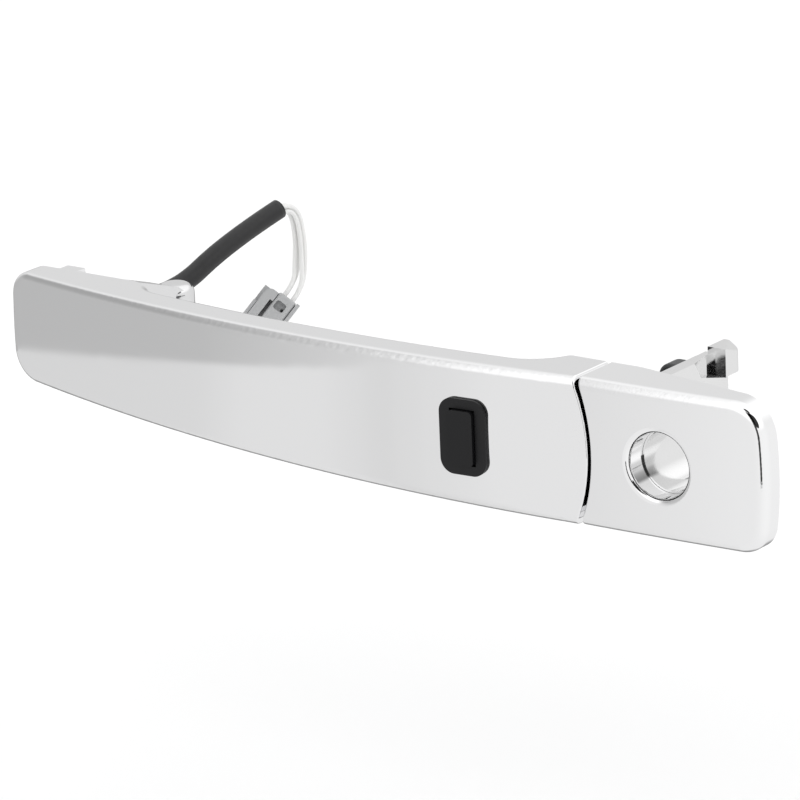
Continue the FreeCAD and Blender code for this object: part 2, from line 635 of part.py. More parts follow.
def cap_arm_shape():
    """Arm of the cap: sloping side, cast recess beside the head, head with a sloping corner."""
    reach = size("cap_arm_reach")
    top_x = ARM_X0 + size("cap_arm_width")
    foot_x = ARM_X0 + size("cap_arm_foot")
    section = [(ARM_X0, ARM_Z0), (ARM_X0, ARM_Z1), (top_x, ARM_Z1), (foot_x, ARM_STEP_Z), (foot_x, ARM_Z0)]
    corners = [Vector(x, BASE_Y1 - 0.5, z) for x, z in section]
    arm = Part.Face(Part.makePolygon(corners + corners[:1])).extrude(Vector(0, reach + 1.3 - BASE_Y1, 0))
    side = yz_prism([(RECESS_START, ARM_STEP_Z + 2.2), (reach, ARM_STEP_Z - 0.1), (reach, FAR), (RECESS_START, FAR)],
                    ARM_X0, FAR)
    bottom_x = top_x - RECESS_DEPTH
    plan = [(FAR, RECESS_START), (top_x, RECESS_START), (bottom_x, reach - 2.0), (bottom_x, reach), (FAR, reach)]
    corners = [Vector(x, y, 0) for x, y in plan]
    recess = Part.Face(Part.makePolygon(corners + corners[:1])).extrude(Vector(0, 0, FAR))
    arm = arm.cut(recess.common(side))
    head_y1 = reach + size("head_depth")
    head = box_shape(HEAD_X1 - size("head_width"), HEAD_X1, reach, head_y1, HEAD_Z1 - size("head_tall"), HEAD_Z1)
    corner = upright_edges(head, Vector(0, 0, 1), HEAD_X1, head_y1)
    head = head.makeFillet(2.6, corner)
    slope = box_shape(-FAR, FAR, 0, FAR, 0, FAR)
    heading = -math.degrees(math.atan2(size("head_depth"), size("head_width") - 1.4))
    slope.Placement = Placement(
        Vector(HEAD_X1, reach + 0.2, HEAD_Z1),
        Rotation(Vector(0, 0, 1), heading).multiply(Rotation(Vector(1, 0, 0), -HEAD_SLOPE)))
    head = head.cut(slope)
    neck = box_shape(ARM_X0 + 0.3, bottom_x, reach - 1.0, reach + 3.0, ARM_STEP_Z, ARM_Z1 - 0.6)
    return arm.fuse(head).fuse(neck)


def cap_base_shape():
    """Carrier inside the cap with the lock sleeve and the arm that the door base grips."""
    along = Vector(0, 1, 0)
    plate = cap_prism(size("wall") + 0.15).common(rim_slab(BASE_Y0, BASE_Y1))
    sleeve_start = CAP_FACE_Y + size("collar_depth") + 0.1
    sleeve = rod_shape(size("sleeve_bore") + size("sleeve_wall"), size("sleeve_reach") - sleeve_start,
                       Vector(0, sleeve_start, 0), along)
    rib = box_shape(ARM_X0, ARM_X0 + 3.0, BASE_Y1 - 0.5, 6.0, ARM_Z0 - 6.0, ARM_Z0 + 0.1)
    base = plate.fuse(sleeve).fuse(cap_arm_shape()).fuse(rib)
    base = base.cut(rod_shape(size("sleeve_bore"), FAR, Vector(0, -FAR / 2, 0), along))
    for x, z in CAP_SCREWS:
        base = base.cut(rod_shape(SCREW_SHANK, 8, Vector(x, rim_y(x) + BASE_Y0 - 4, z), along))
        base = base.cut(rod_shape(SCREW_HEAD + 0.15, 8, Vector(x, cap_screw_y(x), z), along))
    return clean(base)


# ------------------------------------------------------------------------ parametric bodies
class Block:
    """PartDesign body of centred rectangular or round pads and pockets along its local Y."""

    def __init__(self, label, place):
        self.body = doc.addObject("PartDesign::Body", label)
        self.body.Placement = place
        self.label = label
        self.count = 0

    def plane(self):
        for feature in self.body.Origin.OriginFeatures:
            if feature.Role == "XZ_Plane":
                return feature
        return None

    def sketch(self, offset):
        self.count += 1
        sketch = self.body.newObject("Sketcher::SketchObject", "%s_sketch%d" % (self.label, self.count))
        sketch.AttachmentSupport = (self.plane(), [""])
        sketch.MapMode = "FlatFace"
        sketch.AttachmentOffset = Placement(Vector(0, 0, -offset), Rotation())
        return sketch

    def rectangle(self, sketch, wide, tall, x=0.0, z=0.0):
        """Rectangle whose width and height are expressions of the sheet's sizes."""
        half_x, half_z = 2.0, 3.0
        corners = [(-half_x, -half_z), (half_x, -half_z), (half_x, half_z), (-half_x, half_z)]
        first = sketch.GeometryCount
        for index in range(4):
            ax, az = corners[index]
            bx, bz = corners[(index + 1) % 4]
            sketch.addGeometry(Part.LineSegment(Vector(x + ax, z + az, 0), Vector(x + bx, z + bz, 0)))
        for index in range(4):
            sketch.addConstraint(Sketcher.Constraint("Coincident", first + index, 2,
                                                     first + (index + 1) % 4, 1))
        for index in (0, 2):
            sketch.addConstraint(Sketcher.Constraint("Horizontal", first + index))
        for index in (1, 3):
            sketch.addConstraint(Sketcher.Constraint("Vertical", first + index))
        width = sketch.addConstraint(Sketcher.Constraint("DistanceX", first, 1, first, 2, 2 * half_x))
        height = sketch.addConstraint(Sketcher.Constraint("DistanceY", first + 1, 1, first + 1, 2, 2 * half_z))
        left = sketch.addConstraint(Sketcher.Constraint("DistanceX", -1, 1, first, 1, x - half_x))
        low = sketch.addConstraint(Sketcher.Constraint("DistanceY", -1, 1, first, 1, z - half_z))
        sketch.setExpression("Constraints[%d]" % width, wide)
        sketch.setExpression("Constraints[%d]" % height, tall)
        sketch.setExpression("Constraints[%d]" % left, "%s - (%s) / 2" % (x, wide))
        sketch.setExpression("Constraints[%d]" % low, "%s - (%s) / 2" % (z, tall))

    def circle(self, sketch, radius):
        """Circle about the body's axis whose radius is an expression of the sheet's sizes."""
        index = sketch.addGeometry(Part.Circle(Vector(0, 0, 0), Vector(0, 0, 1), 1.0))
        sketch.addConstraint(Sketcher.Constraint("Coincident", -1, 1, index, 3))
        round_size = sketch.addConstraint(Sketcher.Constraint("Radius", index, 1.0))
        sketch.setExpression("Constraints[%d]" % round_size, radius)

    def pad(self, sketch, length, inward=True):
        """Pad towards +Y, into the door, or towards -Y."""
        pad = self.body.newObject("PartDesign::Pad", "%s_pad%d" % (self.label, self.count))
        pad.Profile = sketch
        pad.setExpression("Length", length)
        pad.Reversed = inward
        doc.recompute()
        return pad

    def pocket(self, sketch, length, inward=True):
        """Pocket towards +Y or -Y."""
        pocket = self.body.newObject("PartDesign::Pocket", "%s_pocket%d" % (self.label, self.count))
        pocket.Profile = sketch
        pocket.setExpression("Length", length)
        pocket.Reversed = not inward
        before = self.body.Shape.Volume
        doc.recompute()
        if pocket.Shape.Volume > before - 0.01:
            raise RuntimeError("pocket cuts nothing in " + self.label)
        return pocket

    def round_along(self, feature, radius, test):
        """Fillet the feature's edges that pass a test."""
        names = ["Edge%d" % (i + 1) for i, edge in enumerate(feature.Shape.Edges) if test(edge)]
        fillet = self.body.newObject("PartDesign::Fillet", "%s_fillet%d" % (self.label, self.count))
        fillet.Base = (feature, names)
        fillet.setExpression("Radius", str(radius))
        doc.recompute()
        return fillet

    def done(self):
        return keep(self.body, self.label)


# ------------------------------------------------------------------------- harness routes
SHEATH_ROUTE = [
    Vector(GROMMET_X, 1.5, GROMMET_Z),
    Vector(GROMMET_X + 1.2, 17.0, 4.6),
    Vector(GROMMET_X + 10.2, 36.0, 3.9),
    Vector(GROMMET_X + 13.4, 56.0, 13.9),
    Vector(GROMMET_X + 17.0, 75.0, 19.4),
]
MOUTH_DEPTH = 4.0
WIRE_SWAY = [
    # middle line of the wires from the mouth: along the handle, inward, up;
    # then how the upper and lower wires stand apart there, inward and up, and how wide they fan
    ((0.3, 6.6, -2.2), (0.8, 0.6), 1.0),
    ((0.5, 8.1, -10.0), (1.0, 0.0), 1.15),
    ((0.9, 7.2, -16.8), (1.1, 0.0), 1.5),
]
WIRE_LAST_RUN = 4.5
CONNECTOR_SEAT = (0.0, 2.4, -26.1)      # from the mouth to the middle of the connector's wire end
CONNECTOR_TURNS = (37.0, -17.0, 40.0)   # about the vertical, then sideways, then end to end
TERMINAL_PITCH = (1.35, 1.1)
WIRE_NAMES = ["wire_upper_left", "wire_upper_right", "wire_lower_left", "wire_lower_right"]


def tube_along(route, radius, label):
    """Tube whose route is straight runs joined by tangent arcs."""
    edges = []
    start = route[0]
    for index in range(1, len(route) - 1):
        corner = route[index]
        before = corner - route[index - 1]
        after = route[index + 1] - corner
        turn = before.getAngle(after)
        setback = 0.45 * min(before.Length, after.Length)
        bend = setback / math.tan(turn / 2)
        print("%s bend radius %.1f mm (%.1f diameters)" % (label, bend, bend / (2 * radius)))
        into = corner - before.normalize() * setback
        out = corner + after.normalize() * setback
        centre_way = (into + out) * 0.5 - corner
        far_side = bend / math.cos(turn / 2)
        centre = corner + centre_way.normalize() * far_side
        middle = centre + (corner - centre).normalize() * bend
        edges.append(line_edge(start, into))
        edges.append(arc_edge(into, middle, out))
        start = out
    edges.append(line_edge(start, route[-1]))
    path = Part.Wire(edges)
    way = route[1] - route[0]
    section = Part.Wire(Part.Circle(route[0], way, radius).toShape())
    tube = path.makePipeShell([section], True, False)
    expected = math.pi * radius ** 2 * path.Length
    if abs(tube.Volume - expected) > 0.01 * expected:
        raise RuntimeError("tube volume of " + label)
    return tube


def sheath_shape():
    """Harness sheath, with the open mouth that the wires come out of."""
    tube = tube_along(SHEATH_ROUTE, size("sheath_radius"), "sheath")
    end = SHEATH_ROUTE[-1]
    way = (SHEATH_ROUTE[-1] - SHEATH_ROUTE[-2]).normalize()
    bore = rod_shape(size("sheath_radius") - 0.6, MOUTH_DEPTH + 1, end - way * MOUTH_DEPTH, way)
    return tube.cut(bore)


def connector_place():
    """Place of the connector: origin in the middle of its wire end, local Z out of that end."""
    turn, lean, tilt = CONNECTOR_TURNS
    rotation = Rotation(Vector(0, 0, 1), turn).multiply(Rotation(Vector(1, 0, 0), lean))
    return Placement(SHEATH_ROUTE[-1] + Vector(*CONNECTOR_SEAT), rotation.multiply(Rotation(Vector(0, 1, 0), tilt)))


def wire_routes():
    """Middle lines of the four wires from inside the sheath's mouth to the connector."""
    end = SHEATH_ROUTE[-1]
    way = (SHEATH_ROUTE[-1] - SHEATH_ROUTE[-2]).normalize()
    side = way.cross(Vector(0, 0, 1)).normalize()
    up = side.cross(way).normalize()
    pitch = size("wire_radius") + 0.15
    seat = connector_place()
    routes = []
    for index in range(4):
        across = 1 if index % 2 else -1
        high = 1 if index < 2 else -1
        offset = (side * across + up * high) * pitch
        route = [end - way * (MOUTH_DEPTH - 0.1) + offset, end + way * 1.5 + offset]
        for sway, apart, fan in WIRE_SWAY:
            spread = Vector(across * fan, high * apart[0], high * apart[1]) * pitch
            route.append(end + Vector(*sway) + spread)
        for rise in (WIRE_LAST_RUN, 0.0):
            cavity = Vector(across * TERMINAL_PITCH[0], high * TERMINAL_PITCH[1], rise)
            route.append(seat.multVec(cavity))
        routes.append(route)
    return routes


# ------------------------------------------------------------------------ switch sub-parts
def make_switch():
    travel = "Sizes.button_travel"
    bezel = Block("switch_bezel", SWITCH_PLACE)
    flange = bezel.sketch(-size("bezel_proud"))
    bezel.rectangle(flange, "Sizes.bezel_width", "Sizes.bezel_tall")
    front = bezel.pad(flange, "Sizes.bezel_proud + 0.05")
    bezel.round_along(front, 3.9, along_y)
    skirt = bezel.sketch(0)
    bezel.rectangle(skirt, "Sizes.bezel_width - %s" % (2 * SKIRT_INSET),
                    "Sizes.bezel_tall - %s" % (2 * SKIRT_INSET))
    bezel.pad(skirt, "4.0")
    recess = bezel.sketch(4.0)
    bezel.rectangle(recess, "Sizes.button_width + 2.2", "Sizes.button_tall + 1.9")
    bezel.pocket(recess, "3.2", inward=False)
    window = bezel.sketch(-size("bezel_proud"))
    bezel.rectangle(window, "Sizes.button_width + 2 * Sizes.button_gap",
                    "Sizes.button_tall + 2 * Sizes.button_gap")
    bezel.pocket(window, "4.0")
    bezel.done()

    button = Block("switch_button", SWITCH_PLACE)
    pad = button.sketch(-size("button_proud"))
    button.rectangle(pad, "Sizes.button_width", "Sizes.button_tall")
    face = button.pad(pad, "Sizes.button_proud + 1.2")
    button.round_along(face, 1.2, along_y)
    foot = button.sketch(1.0)
    button.rectangle(foot, "Sizes.button_width + 1.8", "Sizes.button_tall + 1.6")
    button.pad(foot, "1.0")
    button.done()

    plunger = Block("tact_plunger", SWITCH_PLACE)
    stem = plunger.sketch(2.0)
    plunger.circle(stem, "1.2")
    plunger.pad(stem, "1.6")
    plunger.done()

    switch = Block("tact_switch", SWITCH_PLACE)
    case = switch.sketch(3.2)
    switch.rectangle(case, "6.0", "6.0")
    switch.pad(case, "2.4")
    guide = switch.sketch(3.2)
    switch.circle(guide, "1.3")
    switch.pocket(guide, "0.4 + %s + 0.2" % travel)
    switch.done()

    board = Block("circuit_board", SWITCH_PLACE)
    sheet_face = board.sketch(5.6)
    board.rectangle(sheet_face, "Sizes.bezel_width - 1.1", "Sizes.bezel_tall - 0.5")
    board.pad(sheet_face, "1.0")
    board.done()

    seal = Block("switch_seal", SWITCH_PLACE)
    ring = seal.sketch(2.55)
    seal.rectangle(ring, "Sizes.bezel_width + 1.6", "Sizes.bezel_tall + 1.6")
    seal.pad(ring, "0.7")
    middle = seal.sketch(2.55)
    seal.rectangle(middle, "Sizes.bezel_width - 1.4", "Sizes.bezel_tall - 1.4")
    seal.pocket(middle, "0.7")
    seal.done()

    housing = Block("switch_housing", SWITCH_PLACE)
    tray = housing.sketch(3.25)
    housing.rectangle(tray, "Sizes.bezel_width + 1.6", "Sizes.bezel_tall + 1.6")
    housing.pad(tray, "5.2")
    inside = housing.sketch(3.25)
    housing.rectangle(inside, "Sizes.bezel_width - 1.0", "Sizes.bezel_tall - 0.4")
    housing.pocket(inside, "3.4")
    relief = housing.sketch(6.0)
    housing.rectangle(relief, "Sizes.bezel_width - 4.0", "Sizes.bezel_tall - 4.0")
    housing.pocket(relief, "1.6")
    housing.done()


# --------------------------------------------------------------------------- grip insides
ANTENNA_X = (COVER_X0 + COVER_X1) / 2 - 2.0
ANTENNA_Z = 3.0


def make_antenna():
    place = tilted(ANTENNA_X, face_y(ANTENNA_X, size("wall") + 1.6), ANTENNA_Z,
                   math.degrees(math.asin((ANTENNA_X - BOW_X) / FACE_RADIUS)))
    core = Block("antenna_core", place)
    bar = core.sketch(2.0)
    core.rectangle(bar, "50.0", "4.0")
    core.pad(bar, "2.0")
    core.done()

    bobbin = Block("antenna_bobbin", place)
    tube = bobbin.sketch(1.2)
    bobbin.rectangle(tube, "44.0", "5.6")
    bobbin.pad(tube, "3.6")
    for x in (-22.0, 22.0):
        cheek = bobbin.sketch(0.2)
        bobbin.rectangle(cheek, "2.0", "8.0", x)
        bobbin.pad(cheek, "5.6")
    bore = bobbin.sketch(1.95)
    bobbin.rectangle(bore, "60.0", "4.1")
    bobbin.pocket(bore, "2.1")
    bobbin.done()

    coil = Block("antenna_coil", place)
    winding = coil.sketch(0.6)
    coil.rectangle(winding, "41.6", "7.0")
    coil.pad(winding, "4.8")
    inside = coil.sketch(1.15)
    coil.rectangle(inside, "60.0", "5.7")
    coil.pocket(inside, "3.7")
    coil.done()

    holder = Block("antenna_holder", place)
    tray = holder.sketch(-0.6)
    holder.rectangle(tray, "54.0", "10.6")
    holder.pad(tray, "5.4")
    hollow = holder.sketch(0.15)
    holder.rectangle(hollow, "51.0", "8.4")
    holder.pocket(hollow, "5.4")
    holder.done()


def lead_bundle():
    """Four leads along the grip from the switch housing to the front foot."""
    leads = []
    depth = size("wall") + 3.4
    radius = size("wire_radius")
    for index in range(4):
        ring = FACE_RADIUS - depth - (index % 2) * 1.7
        height = -6.0 - (index // 2) * 1.6

        def on_ring(x):
            return Vector(x, BOW_Y - math.sqrt(ring ** 2 - (x - BOW_X) ** 2), height)

        x0 = NOSE_X + 22.0
        x1 = SWITCH_X - 9.5
        path = Part.Wire(arc_edge(on_ring(x0), on_ring((x0 + x1) / 2), on_ring(x1)))
        way = path.Edges[0].tangentAt(path.Edges[0].FirstParameter)
        section = Part.Wire(Part.Circle(on_ring(x0), way, radius).toShape())
        leads.append(path.makePipeShell([section], True, False))
    return Part.makeCompound(leads)


def grommet_shape():
    """Rubber grommet in the front foot's rear wall, snug round the sheath."""
    along = Vector(0, 1, 0)
    inner = size("sheath_radius")
    centre = Vector(GROMMET_X, 0, GROMMET_Z)
    plug = rod_shape(GROMMET_HOLE - FIT, 2.6, centre - Vector(0, 2.4, 0), along)
    collar = rod_shape(GROMMET_HOLE + 0.8, 1.4, centre + Vector(0, 0.1, 0), along)
    lip = rod_shape(GROMMET_HOLE + 0.5, 0.8, centre - Vector(0, 3.2, 0), along)
    bore = rod_shape(inner - 0.75, 8, centre - Vector(0, 4, 0), along)
    return clean(plug.fuse(collar).fuse(lip).cut(bore))


def make_pivot_bush():
    """Plain bush pressed into the eye from below."""
    place = Placement(Vector(PIVOT_X, PIVOT_Y, EYE_BOTTOM), Rotation(Vector(1, 0, 0), 90))
    bush = Block("pivot_bush", place)
    ring = bush.sketch(0)
    bush.circle(ring, "Sizes.pivot_bore + %s" % (BUSH_WALL - FIT))
    bush.pad(ring, str(BUSH_LENGTH - FIT))
    hole = bush.sketch(0)
    bush.circle(hole, "Sizes.pivot_bore")
    bush.pocket(hole, str(BUSH_LENGTH))
    bush.done()


# ------------------------------------------------------------------------------ connector
SOCKET_END = -7.5   # bottom of the mating socket


def make_connector():
    """Four-way connector in its clip, hanging at the wires' lower end."""
    place = connector_place()
    long_side = size("connector_long")
    half_x = size("connector_wide") / 2
    half_y = size("connector_tall") / 2
    cavities = [(x * TERMINAL_PITCH[0], y * TERMINAL_PITCH[1]) for x in (-1, 1) for y in (-1, 1)]
    up = Vector(0, 0, 1)
    inward = Vector(0, 1, 0)

    block = box_shape(-half_x, half_x, -half_y, half_y, -long_side, 0.0)
    upright = [edge for edge in block.Edges if edge.BoundBox.ZLength > 1.0]
    block = block.makeFillet(1.3, upright)
    shoulder = [edge for edge in block.Edges if edge.BoundBox.ZMin > -0.01]
    block = block.makeFillet(0.7, shoulder)
    socket = box_shape(0.9 - half_x, half_x - 0.9, 0.9 - half_y, half_y - 0.9, -long_side - 1, SOCKET_END)
    window = box_shape(-2.0, 1.2, -half_y - 1, 2.0 - half_y, -4.7, -2.1)
    window = window.makeFillet(0.7, [edge for edge in window.Edges if along_y(edge)])
    peg_hole = rod_shape(0.45, 4.0, Vector(0.7, -half_y, -4.0), inward)
    block = block.cut(socket).cut(window).cut(peg_hole)
    for x, y in cavities:
        block = block.cut(rod_shape(0.45, 2.6, Vector(x, y, SOCKET_END - 0.5), up))
    solid_part("connector_housing", local_shape(clean(block), place))

    pins = [rod_shape(0.4, 5.0, Vector(x, y, SOCKET_END - 3.0), up) for x, y in cavities]
    solid_part("connector_terminals", local_shape(Part.makeCompound(pins), place))

    lever = box_shape(-half_x - 3.5, -half_x - 1.0, 0.4 - half_y, half_y - 0.4, -10.5, -0.6)
    knuckle = box_shape(-half_x - 2.0, -half_x - FIT, 0.4 - half_y, half_y - 0.4, -3.4, -0.6)
    lever = clean(lever.fuse(knuckle))
    crown = [edge for edge in lever.Edges if along_y(edge) and edge.BoundBox.ZMin > -0.7
             and edge.BoundBox.XMax < -half_x - 3.0]
    lever = lever.makeFillet(2.0, crown)
    solid_part("terminal_retainer", local_shape(lever, place))

    rear = half_y + FIT
    left = -half_x - 4.6
    right = half_x + 0.1
    back = box_shape(left, right + 0.9, rear, rear + 1.0, -11.0, -1.0)
    tab = box_shape(left, left + 0.95, 1.0 - half_y, rear + 0.5, -11.5, -6.0)
    fin = box_shape(right, right + 0.9, 0.2 - half_y, rear + 0.5, -7.0, 0.2)
    solid_part("connector_clip", local_shape(clean(back.fuse(tab).fuse(fin)), place))


def local_shape(shape, place):
    """Shape moved from the connector's own frame to the handle's."""
    return shape.transformGeometry(place.toMatrix())


# -------------------------------------------------------------------------------- assembly
solid_part("grip_shell", make_grip_shell())
solid_part("grip_rear_cover", cover_plate())
solid_part("front_arm", front_arm_shape())
solid_part("pull_arm", pull_arm_shape())
make_pivot_bush()
solid_part("rear_cover_screws", Part.makeCompound(
    [screw_shape(x, z, back_y(x) - 1.0, 5.0, 0.95) for x, z in COVER_SCREWS]))
solid_part("front_arm_screws", Part.makeCompound([screw_shape(x, z, 0.02, 4.3) for x, z in ARM_SCREWS]))
solid_part("pull_arm_screws", Part.makeCompound([screw_shape(x, z, -1.35, 4.4) for x, z in PULL_SCREWS]))
make_switch()
make_antenna()
solid_part("grip_leads", lead_bundle())
solid_part("sheath_grommet", grommet_shape())
solid_part("harness_sheath", sheath_shape())
for name, route in zip(WIRE_NAMES, wire_routes()):
    solid_part(name, tube_along(route, size("wire_radius"), name))
make_connector()
solid_part("cap_shell", make_cap_shell())
solid_part("cap_base", cap_base_shape())
solid_part("cap_screws", Part.makeCompound([screw_shape(x, z, cap_screw_y(x) + 0.02, CAP_SCREW_LONG) for x, z in CAP_SCREWS]))

doc.recompute()
for obj in doc.Objects:
    if "Invalid" in obj.State or "Error" in obj.State:
        raise RuntimeError("object failed: " + obj.Label)
os.makedirs("parts", exist_ok=True)
for obj in parts:
    if obj.Shape.isNull() or not obj.Shape.isValid():
        raise RuntimeError("bad shape: " + obj.Label)
    obj.Shape.exportStep(os.path.join("parts", obj.Label + ".step"))
    print("%-22s %3d solids %9.1f mm3" % (obj.Label, len(obj.Shape.Solids), obj.Shape.Volume))
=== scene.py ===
"""Looks of the car door handle: camera, pigtail, materials, floor and light."""
import bmesh
import bpy
import json
import math
from mathutils import Matrix, Vector


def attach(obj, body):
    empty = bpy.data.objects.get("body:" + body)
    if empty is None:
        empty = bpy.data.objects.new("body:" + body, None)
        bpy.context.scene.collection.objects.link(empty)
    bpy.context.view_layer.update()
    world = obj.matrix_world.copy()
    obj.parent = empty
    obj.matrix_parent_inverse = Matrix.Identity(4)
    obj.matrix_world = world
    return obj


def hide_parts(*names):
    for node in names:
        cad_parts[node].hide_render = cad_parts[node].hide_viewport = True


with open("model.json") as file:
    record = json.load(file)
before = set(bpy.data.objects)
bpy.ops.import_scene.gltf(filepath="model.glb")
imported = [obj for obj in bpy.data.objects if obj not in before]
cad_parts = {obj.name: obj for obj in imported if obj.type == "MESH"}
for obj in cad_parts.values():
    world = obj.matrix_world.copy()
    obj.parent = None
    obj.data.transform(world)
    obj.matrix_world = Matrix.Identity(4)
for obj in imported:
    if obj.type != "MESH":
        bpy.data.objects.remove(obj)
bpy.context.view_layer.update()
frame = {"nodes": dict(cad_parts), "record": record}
NODES = frame["nodes"]
MM = 0.001

# ------------------------------------------------------------------------------ camera
CAMERA_AZIMUTH = math.radians(37.1)
CAMERA_ELEVATION = math.radians(17.2)
CAMERA_ROLL = math.radians(2.4)
CAMERA_DISTANCE = 1.3
CAMERA_REACH = 50.0
LENS_LENGTH = 231.1  # millimetres, as is the sensor
SENSOR_WIDTH = 36.0
CAMERA_TARGET = Vector((-85.4, -4.5, 1.1)) * MM


def make_camera():
    """Camera to the right of the handle and above it, slightly rolled."""
    across, height = CAMERA_AZIMUTH, CAMERA_ELEVATION
    back = Vector((math.sin(across) * math.cos(height),
                   -math.cos(across) * math.cos(height), math.sin(height)))
    right = (-back).cross(Vector((0, 0, 1))).normalized()
    up = right.cross(-back)
    rolled_right = right * math.cos(CAMERA_ROLL) - up * math.sin(CAMERA_ROLL)
    rolled_up = right * math.sin(CAMERA_ROLL) + up * math.cos(CAMERA_ROLL)
    turn = Matrix((rolled_right, rolled_up, back)).transposed()
    data = bpy.data.cameras.new("camera")
    data.lens = LENS_LENGTH
    data.sensor_width = SENSOR_WIDTH
    data.clip_end = CAMERA_REACH
    camera = bpy.data.objects.new("camera", data)
    camera.matrix_world = Matrix.Translation(CAMERA_TARGET + back * CAMERA_DISTANCE) @ turn.to_4x4()
    bpy.context.scene.collection.objects.link(camera)
    bpy.context.scene.camera = camera


make_camera()

# ------------------------------------------------------------------------------- cords
SHEATH_RADIUS = 2.75 * MM
SHEATH_WALL = 0.55 * MM
TUBE_SIDES = 28
CURVE_STEPS = 24  # divisions of each stretch of a curve
WIRE_FACETS = 6
LIP_STEPS = (0.3, 0.7, 1.0)  # shares of the wall that the cut end turns in by
WIRE_RADIUS = 0.65 * MM
WIRE_CLEARANCE = 0.15 * MM  # half the gap between two neighbours
GROMMET = (-201.5, 6.0)
SHEATH_ROUTE = [Vector(point) * MM for point in (
    (GROMMET[0], 1.5, GROMMET[1]),
    (GROMMET[0] + 1.2, 17.0, 4.6),
    (GROMMET[0] + 10.2, 36.0, 3.9),
    (GROMMET[0] + 13.4, 56.0, 13.9),
    (GROMMET[0] + 17.0, 75.0, 19.4),
)]
MOUTH_DEPTH = 3.9 * MM
WIRE_PITCH = WIRE_RADIUS + WIRE_CLEARANCE  # from the middle of the four wires to each, both ways
WIRE_LEAD = 1.5 * MM  # straight stretch past the mouth
WIRE_SWAY = [
    # place from the mouth; then, in wire pitches, upper wires' Y and Z, and right wires' X
    (Vector((0.3, 6.6, -2.2)) * MM, (0.8, 0.6), 1.0),
    (Vector((0.5, 8.1, -10.0)) * MM, (1.0, 0.0), 1.15),
    (Vector((0.9, 7.2, -16.8)) * MM, (1.1, 0.0), 1.5),
]
WIRE_LAST_RUN = 4.5 * MM
CONNECTOR_SEAT = Vector((0.0, 2.4, -26.1)) * MM
CONNECTOR_TURNS = [math.radians(angle) for angle in (37.0, -17.0, 40.0)]  # about Z, X, Y
TERMINAL_PITCH = (1.35 * MM, 1.1 * MM)  # from the middle of the four contacts to each
WIRE_NAMES = ["wire_upper_left", "wire_upper_right", "wire_lower_left", "wire_lower_right"]


def smooth_curve(name, points, radius):
    """Round tube on one NURBS spline through given control points.

    The points carry the radius, because a curve's bounds reach out by it.
    """
    data = bpy.data.curves.new(name, "CURVE")
    data.dimensions = "3D"
    data.bevel_depth = 1.0 if radius else 0.0
    data.bevel_resolution = WIRE_FACETS
    data.resolution_u = CURVE_STEPS
    data.use_fill_caps = True
    spline = data.splines.new("NURBS")
    spline.points.add(len(points) - 1)
    for target, point in zip(spline.points, points):
        target.co = (*point, 1.0)
        target.radius = radius
    spline.order_u = 3
    spline.use_endpoint_u = True
    piece = bpy.data.objects.new(name, data)
    bpy.context.scene.collection.objects.link(piece)
    return piece


def wire_routes():
    """Control points of the four wires."""
    end = SHEATH_ROUTE[-1]
    way = (SHEATH_ROUTE[-1] - SHEATH_ROUTE[-2]).normalized()
    side = way.cross(Vector((0, 0, 1))).normalized()
    up = side.cross(way).normalized()
    turn, lean, tilt = CONNECTOR_TURNS
    rotation = Matrix.Rotation(turn, 3, "Z") @ Matrix.Rotation(lean, 3, "X")
    rotation = rotation @ Matrix.Rotation(tilt, 3, "Y")
    routes = []
    for index in range(4):
        across = 1 if index % 2 else -1
        high = 1 if index < 2 else -1
        offset = (side * across + up * high) * WIRE_PITCH
        route = [end - way * MOUTH_DEPTH + offset, end + way * WIRE_LEAD + offset]
        for sway, apart, fan in WIRE_SWAY:
            spread = Vector((across * fan, high * apart[0], high * apart[1]))
            route.append(end + sway + spread * WIRE_PITCH)
        for rise in (WIRE_LAST_RUN, 0.0):
            cavity = Vector((across * TERMINAL_PITCH[0], high * TERMINAL_PITCH[1], rise))
            route.append(end + CONNECTOR_SEAT + rotation @ cavity)
        routes.append(route)
    return routes


def ring_points(centre, across, over, radius, count):
    """Points of a circle in the plane of two directions."""
    points = []
    for step in range(count):
        angle = 2 * math.pi * step / count
        points.append(centre + (across * math.cos(angle) + over * math.sin(angle)) * radius)
    return points


def hollow_tube(name, route, radius, bore, depth):
    """Tube along the route's NURBS line, open for a short depth at its far end.

    Returns the piece and the points that it follows.
    """
    guide = smooth_curve(name + "_guide", route, 0.0)
    line = bpy.data.meshes.new_from_object(guide)
    path = [vertex.co.copy() for vertex in line.vertices]
    bpy.data.objects.remove(guide)
    last = path[-1]
    rings = []
    across = (path[1] - path[0]).orthogonal().normalized()
    for index, point in enumerate(path):
        ahead = path[min(index + 1, len(path) - 1)] - path[max(index - 1, 0)]
        ahead.normalize()
        across = (across - ahead * across.dot(ahead)).normalized()
        rings.append((point, across.copy(), ahead.cross(across), radius))
    _, across, over, _ = rings[-1]
    for step in LIP_STEPS:
        rings.append((last, across, over, radius + (bore - radius) * step))
    for point, across, over, _ in reversed(rings[:len(path) - 1]):
        rings.append((point, across, over, bore))
        if (point - last).length > depth:
            break
    mesh = bpy.data.meshes.new(name)
    shape = bmesh.new()
    circles = []
    for ring in rings:
        circles.append([shape.verts.new(place) for place in ring_points(*ring, TUBE_SIDES)])
    for first, second in zip(circles, circles[1:]):
        for step in range(TUBE_SIDES):
            after = (step + 1) % TUBE_SIDES
            shape.faces.new((first[step], first[after], second[after], second[step]))
    shape.faces.new(circles[0])
    shape.faces.new(circles[-1])
    bmesh.ops.recalc_face_normals(shape, faces=shape.faces)
    for face in shape.faces:
        face.smooth = len(face.verts) == 4
    shape.to_mesh(mesh)
    shape.free()
    piece = bpy.data.objects.new(name, mesh)
    bpy.context.scene.collection.objects.link(piece)
    return piece, path


